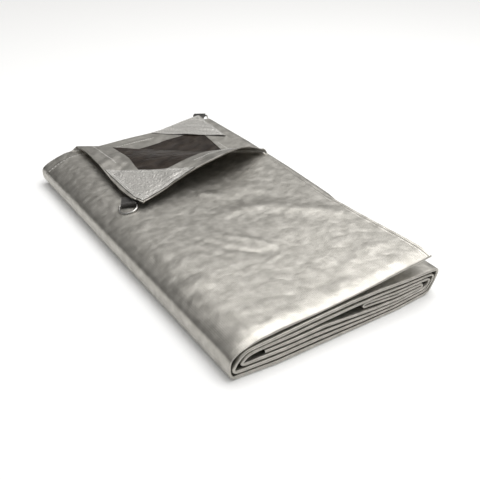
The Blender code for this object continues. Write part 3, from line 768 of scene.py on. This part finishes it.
# The hems: cloth turned in along the far edges and the free edge of both plies, so that
# its silver side shows on the dark side. They are one with the sheet.
# Width of the far hem at lengths of cloth from the free edge, and of the hem on the free
# edge at distances from the far edge: they are turned in by hand, so they vary.
FAR_HEM = {1: ((0.0, 0.044), (0.090, 0.045), (0.134, 0.051), (0.203, 0.047), (0.300, 0.050)),
           -1: ((0.0, 0.060), (0.060, 0.0576), (0.092, 0.0506), (0.137, 0.0586), (0.300, 0.055))}
FREE_HEM = {1: ((0.073, 0.040), (0.120, 0.044), (0.153, 0.054), (0.200, 0.066), (0.300, 0.050)),
            -1: ((0.060, 0.031), (0.102, 0.031), (0.150, 0.034), (0.300, 0.045))}
HEM_SHARES = (0.008, 0.10, 0.32, 0.64, 1.0)
HEM_CLOTH = 0.0004
HEM_RIPPLE = 0.0002         # the turned-in cloth stands a little off the rest here and there
HEM_AWAY = -(SHEET / 2 + 0.00003 + HEM_CLOTH / 2)


hems = []
for side in (1, -1):
    corner_width = table_value(FAR_HEM[side], 0.0)
    side_rows = [y for y in SHEET_ROWS if y < PACKET_LENGTH - corner_width - 0.003]
    side_rows.append(PACKET_LENGTH - corner_width)
    far_hem = [[(c, PACKET_LENGTH - share * table_value(FAR_HEM[side], c)) for c in COLUMNS]
               for share in HEM_SHARES]
    free_hem = [[(share * table_value(FREE_HEM[side], PACKET_LENGTH - y), y) for share in HEM_SHARES]
                for y in reversed(side_rows)]
    for rows in (far_hem, free_hem):
        if side < 0:
            rows = [[(c, second_ply(y)) for c, y in row] for row in reversed(rows)]
        hem_bm, hem_map = grid_mesh([drawn(c, y) for row in rows for c, y in row], len(rows), len(rows[0]))
        finer_outside(hem_bm)
        bmesh.ops.recalc_face_normals(hem_bm, faces=hem_bm.faces[:])
        fold_and_map(hem_bm, hem_map, HEM_AWAY, HEM_RIPPLE)
        hems.append(thick_mesh("hem", hem_bm, HEM_CLOTH, (silver_coating,)))
join_into(tarp_sheet, hems)
tarp_sheet.data.set_sharp_from_angle(angle=math.radians(60))
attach(tarp_sheet, "root")
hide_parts("tarp")


# The corner patches.
# A triangle of the same cloth, cut with raw edges and sewn over the hems on the dark side
# of each free corner. It is stiff, so it stays crinkled and lifts a little at its edges.
PATCH_LEGS = {1: (0.122, 0.097), -1: (0.101, 0.121)}    # along the far edge and the free edge
PATCH_INSET = 0.003
PATCH_CLOTH = 0.0010
PATCH_AWAY = -0.0017
PATCH_STEPS = 40
BROAD_DENTS = Wave(260, 90, 0, 3.0, 0.00035)
FINE_DENTS = Wave(420, 420, 0, 9.0, 0.000245)
LONG_RIDGES = Wave(120, 14, 0, 3.0, 0.0014)     # along the back patch's long side
RIDGE_WAY = (0.51, 0.86)

# The patch is the sheet's own cloth, but its colours are lighter than the silver coating's: painted light.
patch_cloth_painted_light = coated_cloth("patch cloth", (0.52, 0.505, 0.475), (0.80, 0.78, 0.74), 0.34, 0.70, 0.5,
                           290.0, 0.0010, 0.00007)


def edge_point(side, cloth, back):
    """A drawn point at a length of cloth from the free edge, and one from the far edge."""
    y = PACKET_LENGTH - back
    return drawn(cloth, y if side > 0 else second_ply(y))


def drawn_corner(side):
    return edge_point(side, 0.0, 0.0)


def patch_point(side, u, v):
    """A drawn point on a corner patch: shares along its two sewn legs."""
    corner = drawn_corner(side)
    leg_x, leg_y = PATCH_LEGS[side]
    far_leg = edge_point(side, leg_x, 0.0) - corner
    free_leg = edge_point(side, 0.0, leg_y) - corner
    inner = corner + (far_leg.normalized() + free_leg.normalized()) * PATCH_INSET
    return inner + far_leg * u + free_leg * v


def patch_piece(name, node, side):
    bm = bmesh.new()
    flat_map = bm.loops.layers.uv.new("flat")
    grid = {}
    for i in range(PATCH_STEPS + 1):
        for j in range(PATCH_STEPS + 1 - i):
            point = patch_point(side, i / PATCH_STEPS, j / PATCH_STEPS)
            grid[i, j] = bm.verts.new((point.x, point.y, 0))
    for i in range(PATCH_STEPS):
        for j in range(PATCH_STEPS - i):
            bm.faces.new((grid[i, j], grid[i + 1, j], grid[i, j + 1]))
            if i + j < PATCH_STEPS - 1:
                bm.faces.new((grid[i + 1, j], grid[i + 1, j + 1], grid[i, j + 1]))
    bmesh.ops.recalc_face_normals(bm, faces=bm.faces[:])
    cut(bm, CLIP_MIDDLE - CLIP_OUT * PATCH_INSET, CLIP_OUT, near_corner, clear=True)
    for face in bm.faces:
        for loop in face.loops:
            loop[flat_map].uv = loop.vert.co.xy
    for vertex in bm.verts:
        x, y = vertex.co.xy
        if side > 0:
            relief = sum(kind.height * wave(kind, x, y) for kind in (BROAD_DENTS, FINE_DENTS))
        else:
            across, along = RIDGE_WAY[1] * x - RIDGE_WAY[0] * y, RIDGE_WAY[0] * x + RIDGE_WAY[1] * y
            relief = LONG_RIDGES.height * wave(LONG_RIDGES, across, along)
        vertex.co = folded(vertex.co.xy, PATCH_AWAY - relief)
    obj = thick_mesh(name, bm, PATCH_CLOTH, (patch_cloth_painted_light, brown_coating), rim=1)
    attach(obj, "root")
    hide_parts(node)
    return obj


patches = [patch_piece("corner_patch_front", "patch_front", 1),
           patch_piece("corner_patch_back", "patch_back", -1)]


# The stitching.
# Pale thread in lock stitches: round each patch, and along the hems of both free corners.
# Each stitch is a short bowed length of thread that dips into the cloth at both ends.
THREAD = 0.0010
STITCH, STITCH_GAP = 0.0036, 0.0012
STITCH_LINE = ((0.0, -0.35), (0.25, 0.25), (0.75, 0.25), (1.0, -0.35))     # share along, rise in threads
THREAD_SIDES = 5
PATCH_SEAM = 0.0035
BLUNT_TIP = {1: (0.028, 0.0084), -1: (0.0, 0.0)}    # left unsewn there, along the patch's legs
HEM_SEAM = 0.026
HEM_SEAM_GAP = (0.008, 0.014)       # past the patch, on the far hem and the free hem
HEM_SEAM_END = 0.300
SIDE_SEAMS = ((-0.045, -0.003), (-0.003, 0.039))    # round the left side, from the top's end

thread_mat = bpy.data.materials.new("thread")
thread_mat.use_nodes = True
thread_shader = thread_mat.node_tree.nodes["Principled BSDF"]
thread_shader.inputs["Roughness"].default_value = 0.55
thread_place = thread_mat.node_tree.nodes.new("ShaderNodeNewGeometry")
thread_tone = thread_mat.node_tree.nodes.new("ShaderNodeTexNoise")
thread_tone.inputs["Scale"].default_value = 900.0
thread_mat.node_tree.links.new(thread_place.outputs["Position"], thread_tone.inputs["Vector"])
thread_ramp = thread_mat.node_tree.nodes.new("ShaderNodeValToRGB")
thread_ramp.color_ramp.elements[0].color = (0.72, 0.71, 0.68, 1)
thread_ramp.color_ramp.elements[1].color = (0.95, 0.94, 0.91, 1)
thread_mat.node_tree.links.new(thread_tone.outputs["Fac"], thread_ramp.inputs["Fac"])
thread_mat.node_tree.links.new(thread_ramp.outputs["Color"], thread_shader.inputs["Base Color"])


def sew(bm, start, end, away):
    """A row of stitches along a straight line of the drawing, on one side of the cloth."""
    length = (end - start).length
    count = int(length / (STITCH + STITCH_GAP))
    along = (end - start) / length
    lift = math.copysign(1.0, away)
    for k in range(count):
        first = start + along * (k + 0.5) * length / count - along * STITCH / 2
        rings = []
        for share, rise in STITCH_LINE:
            middle = folded(first + along * STITCH * share, away + lift * rise * THREAD)
            out = (folded(first + along * STITCH * share, away + lift * 0.001)
                   - folded(first + along * STITCH * share, away)).normalized()
            ahead = (folded(first + along * STITCH * (share + 0.1), away) - middle).normalized()
            across = out.cross(ahead).normalized() * THREAD / 2
            out = out * THREAD / 2
            rings.append([bm.verts.new(middle + across * math.cos(a) + out * math.sin(a))
                          for a in np.linspace(0.0, 2 * math.pi, THREAD_SIDES, endpoint=False)])
        for a, b in zip(rings, rings[1:]):
            for i in range(THREAD_SIDES):
                beside = (i + 1) % THREAD_SIDES
                bm.faces.new((a[i], a[beside], b[beside], b[i]))
        bm.faces.new(rings[0][::-1])
        bm.faces.new(rings[-1])


def stitching(name, side):
    bm = bmesh.new()
    leg_x, leg_y = PATCH_LEGS[side]
    du, dv = PATCH_SEAM / leg_x, PATCH_SEAM / leg_y
    over_patch = PATCH_AWAY - PATCH_CLOTH / 2
    tip_x, tip_y = BLUNT_TIP[side]
    corners = [patch_point(side, u, v) for u, v in (
        (du + tip_x / leg_x, dv), (1 - du - 2 * dv, dv), (du, 1 - dv - 2 * du), (du, dv + tip_y / leg_y))]
    for a, b in zip(corners, corners[1:] + corners[:1]):
        if (b - a).length > STITCH * 2:
            sew(bm, a, b, over_patch)
    on_hem = HEM_AWAY - HEM_CLOTH / 2
    gap_x, gap_y = HEM_SEAM_GAP
    sew(bm, edge_point(side, leg_x + gap_x, HEM_SEAM), edge_point(side, HEM_SEAM_END, HEM_SEAM), on_hem)
    sew(bm, edge_point(side, HEM_SEAM, leg_y + gap_y), edge_point(side, HEM_SEAM, HEM_SEAM_END), on_hem)
    if side > 0:
        for first, last in SIDE_SEAMS:
            start, end = [edge_point(side, TOP_CLOTH + at, HEM_SEAM) for at in (first, last)]
            sew(bm, start, end, SHEET / 2)
    bmesh.ops.recalc_face_normals(bm, faces=bm.faces[:])
    mesh = bpy.data.meshes.new(name)
    bm.to_mesh(mesh)
    mesh.materials.append(thread_mat)
    mesh.shade_smooth()
    obj = bpy.data.objects.new(name, mesh)
    bpy.context.collection.objects.link(obj)
    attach(obj, "root")
    return obj


threads = [stitching("stitching_front", 1), stitching("stitching_back", -1)]


# The webbing loops.
# A short dark polyester strap at each free corner, doubled round the ring's bar. Its two
# tails lie under the cloth's corner, on the silver side, and are sewn through it.
WEBBING_WIDTH = 0.0225
WEBBING_THICKNESS = 0.0012
WEBBING_TAIL = 0.014
WEBBING_SEAT = 0.0006
CAD_SHEET = 0.0010
SEAT_GAP = 0.0003
EYE_RADIUS = 0.0022
EYE_REACH = 0.0070
EYE_START = math.radians(40)
EYE_HEIGHT = -(CAD_SHEET / 2 + WEBBING_SEAT + WEBBING_THICKNESS + SEAT_GAP / 2)
FRAME_STEP = 0.030
RIBS, CORDS = 3600.0, 2400.0        # weave across and along the strap, in radians per metre

webbing_mat = bpy.data.materials.new("webbing")
webbing_mat.use_nodes = True
web_tree = webbing_mat.node_tree
web_shader = web_tree.nodes["Principled BSDF"]
web_shader.inputs["Roughness"].default_value = 0.62
web_shader.inputs["Sheen Weight"].default_value = 0.25
web_map = web_tree.nodes.new("ShaderNodeUVMap")
web_map.uv_map = "flat"
web_split = web_tree.nodes.new("ShaderNodeSeparateXYZ")
web_tree.links.new(web_map.outputs[0], web_split.inputs[0])
rib_turns = maths(web_tree, "MULTIPLY", web_split.outputs["X"], RIBS)
cord_turns = maths(web_tree, "MULTIPLY", web_split.outputs["Y"], CORDS)
ribs, cords = [maths(web_tree, "ABSOLUTE", maths(web_tree, "SINE", turns))
               for turns in (rib_turns, cord_turns)]
relief = maths(web_tree, "MULTIPLY", ribs, cords)
# The strap's weave pattern, with its near-black colour painted lighter on the raised ribs and darker in
# the hollows: painted shade.
web_painted_shade_ramp = web_tree.nodes.new("ShaderNodeValToRGB")
web_painted_shade_ramp.color_ramp.elements[0].color = (0.010, 0.009, 0.008, 1)
web_painted_shade_ramp.color_ramp.elements[1].color = (0.050, 0.043, 0.037, 1)
web_tree.links.new(relief, web_painted_shade_ramp.inputs["Fac"])
web_tree.links.new(web_painted_shade_ramp.outputs["Color"], web_shader.inputs["Base Color"])
web_bump = web_tree.nodes.new("ShaderNodeBump")
web_bump.inputs["Distance"].default_value = 0.00025
web_tree.links.new(relief, web_bump.inputs["Height"])
web_tree.links.new(web_bump.outputs["Normal"], web_shader.inputs["Normal"])


def smooth_place(at, side):
    """A point of the folded cloth without its small relief."""
    point = place(*at)
    if side > 0:
        edge = top_edge(at.y)
        point.z -= outer_relief(at.x, at.y, TOP_CLOTH * (edge - at.x) / (edge - TOP_LEFT))
    return point


def corner_frame(side):
    """Frame at a corner of the cloth: out past the corner, along the bar, dark side up."""
    corner = FREE_CORNER - STRAP_OUT[1] * STRAP_IN if side > 0 else drawn_corner(-1)
    step = STRAP_OUT[side] * FRAME_STEP
    beside = Vector((-step.y, step.x)) / 2
    tip = smooth_place(corner, side)
    across = smooth_place(corner - step + beside, side) - smooth_place(corner - step - beside, side)
    out = (tip - smooth_place(corner - step, side)).normalized()
    up = out.cross(across).normalized()
    if up.z < 0:
        up.negate()
    bar = up.cross(out).normalized()
    at = Matrix((out, bar, up)).transposed().to_4x4()
    at.translation = centred(tip)
    return at @ Matrix.Translation((0, STRAP_SHIFT[side], 0))


def webbing_piece(name, node, at):
    upper = EYE_HEIGHT + SEAT_GAP / 2 + WEBBING_THICKNESS / 2
    lower = EYE_HEIGHT - SEAT_GAP / 2 - WEBBING_THICKNESS / 2
    radius = EYE_RADIUS + WEBBING_THICKNESS / 2
    path = [(x, upper) for x in np.linspace(-WEBBING_TAIL, EYE_REACH - 2 * radius, 8)]
    path += [(EYE_REACH - radius * math.cos(a), EYE_HEIGHT + radius * math.sin(a))
             for a in np.linspace(EYE_START, 2 * math.pi - EYE_START, 22)]
    path += [(x, lower) for x in np.linspace(EYE_REACH - 2 * radius, -WEBBING_TAIL, 8)]
    bm = bmesh.new()
    flat_map = bm.loops.layers.uv.new("flat")
    across = np.linspace(-WEBBING_WIDTH / 2, WEBBING_WIDTH / 2, 9)
    lengths = np.concatenate([[0.0], np.cumsum(np.hypot(*np.diff(np.array(path), axis=0).T))])
    rows = [[bm.verts.new(at @ Vector((x, y, z))) for y in across] for x, z in path]
    for i in range(len(rows) - 1):
        for j in range(len(across) - 1):
            face = bm.faces.new((rows[i][j], rows[i][j + 1], rows[i + 1][j + 1], rows[i + 1][j]))
            marks = ((i, j), (i, j + 1), (i + 1, j + 1), (i + 1, j))
            for loop, (a, b) in zip(face.loops, marks):
                loop[flat_map].uv = (lengths[a], across[b])
    bm.normal_update()
    obj = thick_mesh(name, bm, WEBBING_THICKNESS, (webbing_mat,))
    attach(obj, "root")
    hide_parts(node)


corner_frames = {side: corner_frame(side) for side in (1, -1)}
webbing_piece("webbing_loop_front", "webbing_front", corner_frames[1])
webbing_piece("webbing_loop_back", "webbing_back", corner_frames[-1])


# The D-rings.
# Bright plated steel wire, bent to a D and butt welded at the middle of its bar, which
# the webbing hides. The front ring lies on the cloth, and the back one hangs.
RING_WIRE = 0.0034
RING_RADIUS = 0.0138
RING_LEG = 0.0080
RING_CORNER = 0.0022
RING_DROOP = {1: math.radians(2), -1: math.radians(58)}
BOW_STEPS, BEND_STEPS, WIRE_SIDES = 37, 7, 16
RING_ROUGHNESS = 0.28

ring_mat = bpy.data.materials.new("bright plated wire")
ring_mat.use_nodes = True
ring_tree = ring_mat.node_tree
ring_shader = ring_tree.nodes["Principled BSDF"]
ring_shader.inputs["Metallic"].default_value = 1.0
ring_place = ring_tree.nodes.new("ShaderNodeNewGeometry")
ring_noise = ring_tree.nodes.new("ShaderNodeTexNoise")
ring_noise.inputs["Scale"].default_value = 420.0
ring_noise.inputs["Detail"].default_value = 4.0
ring_tree.links.new(ring_place.outputs["Position"], ring_noise.inputs["Vector"])
ring_ramp = ring_tree.nodes.new("ShaderNodeValToRGB")
ring_ramp.color_ramp.elements[0].color = (0.34, 0.33, 0.31, 1)
ring_ramp.color_ramp.elements[1].color = (0.66, 0.65, 0.63, 1)
ring_tree.links.new(ring_noise.outputs["Fac"], ring_ramp.inputs["Fac"])
ring_tree.links.new(ring_ramp.outputs["Color"], ring_shader.inputs["Base Color"])
ring_rough = maths(ring_tree, "MULTIPLY", ring_noise.outputs["Fac"], RING_ROUGHNESS)
ring_tree.links.new(ring_rough, ring_shader.inputs["Roughness"])


def ring_piece(name, node, at):
    """The wire's path round the D, with a round section swept along it."""
    points = [(RING_LEG + RING_RADIUS * math.cos(a), RING_RADIUS * math.sin(a))
              for a in np.linspace(-math.pi / 2, math.pi / 2, BOW_STEPS)]
    for sign in (1, -1):
        turns = np.linspace(0.0, math.pi / 2, BEND_STEPS)
        for a in (turns if sign > 0 else turns[::-1]):
            y = RING_RADIUS - RING_CORNER + RING_CORNER * math.cos(a)
            points.append((RING_CORNER - RING_CORNER * math.sin(a), sign * y))
    bm = bmesh.new()
    rings = []
    for k, (x, y) in enumerate(points):
        before, after = Vector(points[k - 1]), Vector(points[(k + 1) % len(points)])
        ahead = (after - before).normalized()
        outward = Vector((ahead.y, -ahead.x))
        rings.append([bm.verts.new(at @ Vector((x + outward.x * RING_WIRE / 2 * math.cos(a),
                                                y + outward.y * RING_WIRE / 2 * math.cos(a),
                                                RING_WIRE / 2 * math.sin(a))))
                      for a in np.linspace(0, 2 * math.pi, WIRE_SIDES, endpoint=False)])
    for a, b in zip(rings, rings[1:] + rings[:1]):
        for i in range(WIRE_SIDES):
            beside = (i + 1) % WIRE_SIDES
            bm.faces.new((a[i], a[beside], b[beside], b[i]))
    bmesh.ops.recalc_face_normals(bm, faces=bm.faces[:])
    mesh = bpy.data.meshes.new(name)
    bm.to_mesh(mesh)
    mesh.materials.append(ring_mat)
    mesh.shade_smooth()
    obj = bpy.data.objects.new(name, mesh)
    bpy.context.collection.objects.link(obj)
    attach(obj, "root")
    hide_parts(node)


for side, word in ((1, "front"), (-1, "back")):
    hung = Matrix.Translation((EYE_REACH, 0, EYE_HEIGHT)) @ Matrix.Rotation(RING_DROOP[side], 4, "Y")
    ring_piece("d_ring_" + word, "ring_" + word, corner_frames[side] @ hung)
